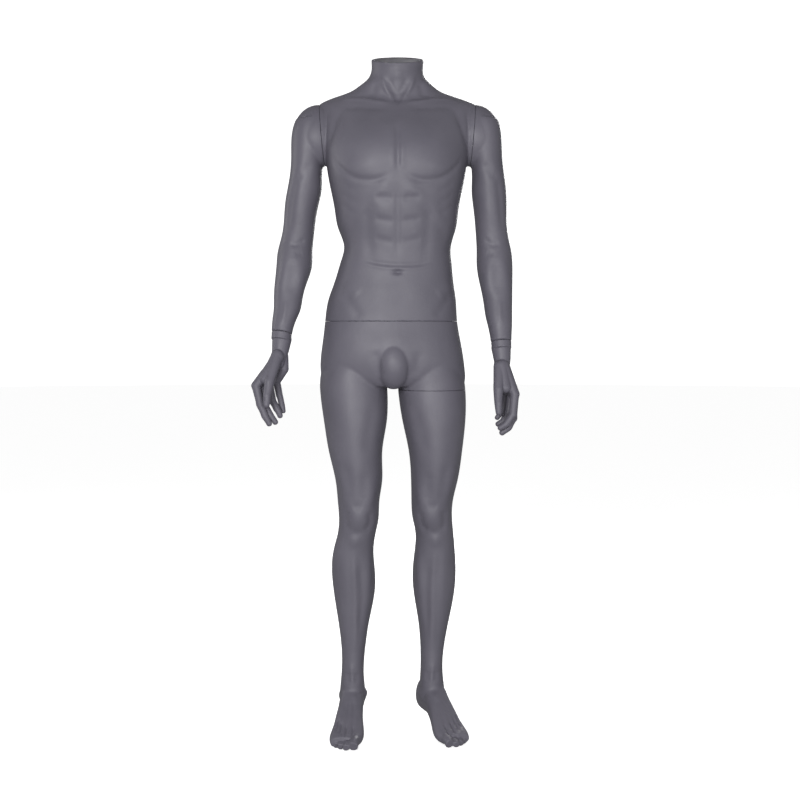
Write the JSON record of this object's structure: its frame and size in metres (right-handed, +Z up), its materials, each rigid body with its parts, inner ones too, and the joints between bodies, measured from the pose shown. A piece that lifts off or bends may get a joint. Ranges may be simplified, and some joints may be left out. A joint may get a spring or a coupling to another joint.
{
  "type": "full body mannequin",
  "caption": "Headless standing male display mannequin in matte grey: hollow torso, pelvis, legs and arms with hands, joined by quarter-turn fittings.",
  "frame": {"origin": "middle of the outline's box, on the floor", "axes": "+X to the figure's left, +Y to its back, +Z up"},
  "size_m": [0.6208, 0.2905, 1.6302],
  "materials": {
    "body_paint": "matte grey paint with a faint violet cast",
    "board": "raw plywood",
    "zinc_steel": "zinc-plated"
  },
  "bodies": {
    "lower_body": {"pelvis_right_leg_shell": "body_paint", "pelvis_waist_bulkhead": "board", "pelvis_thigh_bulkhead": "board", "heel_rod_socket": "zinc_steel", "calf_rod_socket": "zinc_steel", "waist_key_plate": "zinc_steel", "waist_key_screws": "zinc_steel", "waist_lock_key": "zinc_steel", "thigh_receiver_plate": "zinc_steel", "thigh_receiver_screws": "zinc_steel"},
    "torso": {"torso_shell": "body_paint", "torso_waist_bulkhead": "board", "torso_right_shoulder_bulkhead": "board", "torso_left_shoulder_bulkhead": "board", "neck_cap": "body_paint", "head_receiver_plate": "zinc_steel", "head_plate_screws": "zinc_steel", "waist_receiver_plate": "zinc_steel", "waist_receiver_screws": "zinc_steel", "right_shoulder_receiver_plate": "zinc_steel", "right_shoulder_receiver_screws": "zinc_steel", "left_shoulder_receiver_plate": "zinc_steel", "left_shoulder_receiver_screws": "zinc_steel"},
    "left_leg": {"left_leg_shell": "body_paint", "left_thigh_bulkhead": "board", "thigh_key_plate": "zinc_steel", "thigh_key_screws": "zinc_steel", "thigh_lock_key": "zinc_steel"},
    "right_arm": {"right_arm_shell": "body_paint", "right_arm_bulkhead": "board", "right_forearm_bulkhead": "board", "right_shoulder_key_plate": "zinc_steel", "right_shoulder_key_screws": "zinc_steel", "right_shoulder_lock_key": "zinc_steel", "right_wrist_receiver_plate": "zinc_steel", "right_wrist_receiver_screws": "zinc_steel"},
    "left_arm": {"left_arm_shell": "body_paint", "left_arm_bulkhead": "board", "left_forearm_bulkhead": "board", "left_shoulder_key_plate": "zinc_steel", "left_shoulder_key_screws": "zinc_steel", "left_shoulder_lock_key": "zinc_steel", "left_wrist_receiver_plate": "zinc_steel", "left_wrist_receiver_screws": "zinc_steel"},
    "right_hand": {"right_hand": "body_paint", "right_wrist_key_plate": "zinc_steel", "right_wrist_key_screws": "zinc_steel", "right_wrist_lock_key": "zinc_steel"},
    "left_hand": {"left_hand": "body_paint", "left_wrist_key_plate": "zinc_steel", "left_wrist_key_screws": "zinc_steel", "left_wrist_lock_key": "zinc_steel"}
  },
  "joints": [
    {"name": "waist_twist", "type": "hinge", "parent": "lower_body", "child": "torso", "pos_m": [0.0125, 0.018, 0.989], "axis": [0, 0, 1], "range_deg": [0, 90]},
    {"name": "left_leg_twist", "type": "hinge", "parent": "lower_body", "child": "left_leg", "pos_m": [0.11, 0.022, 0.826], "axis": [0, 0, 1], "range_deg": [0, 90]},
    {"name": "right_shoulder_twist", "type": "hinge", "parent": "torso", "child": "right_arm", "pos_m": [-0.15229, 0.03, 1.431], "axis": [-0.9965, 0, -0.0837], "range_deg": [0, 90]},
    {"name": "left_shoulder_twist", "type": "hinge", "parent": "torso", "child": "left_arm", "pos_m": [0.20729, 0.03, 1.431], "axis": [-0.9965, 0, 0.0837], "range_deg": [0, 90]},
    {"name": "right_wrist_twist", "type": "hinge", "parent": "right_arm", "child": "right_hand", "pos_m": [-0.2465, -0.012, 0.96], "axis": [0.152, 0.2432, 0.958], "range_deg": [0, 90]},
    {"name": "left_wrist_twist", "type": "hinge", "parent": "left_arm", "child": "left_hand", "pos_m": [0.2735, -0.012, 0.94], "axis": [0.056, -0.2242, -0.9729], "range_deg": [0, 90]}
  ]
}
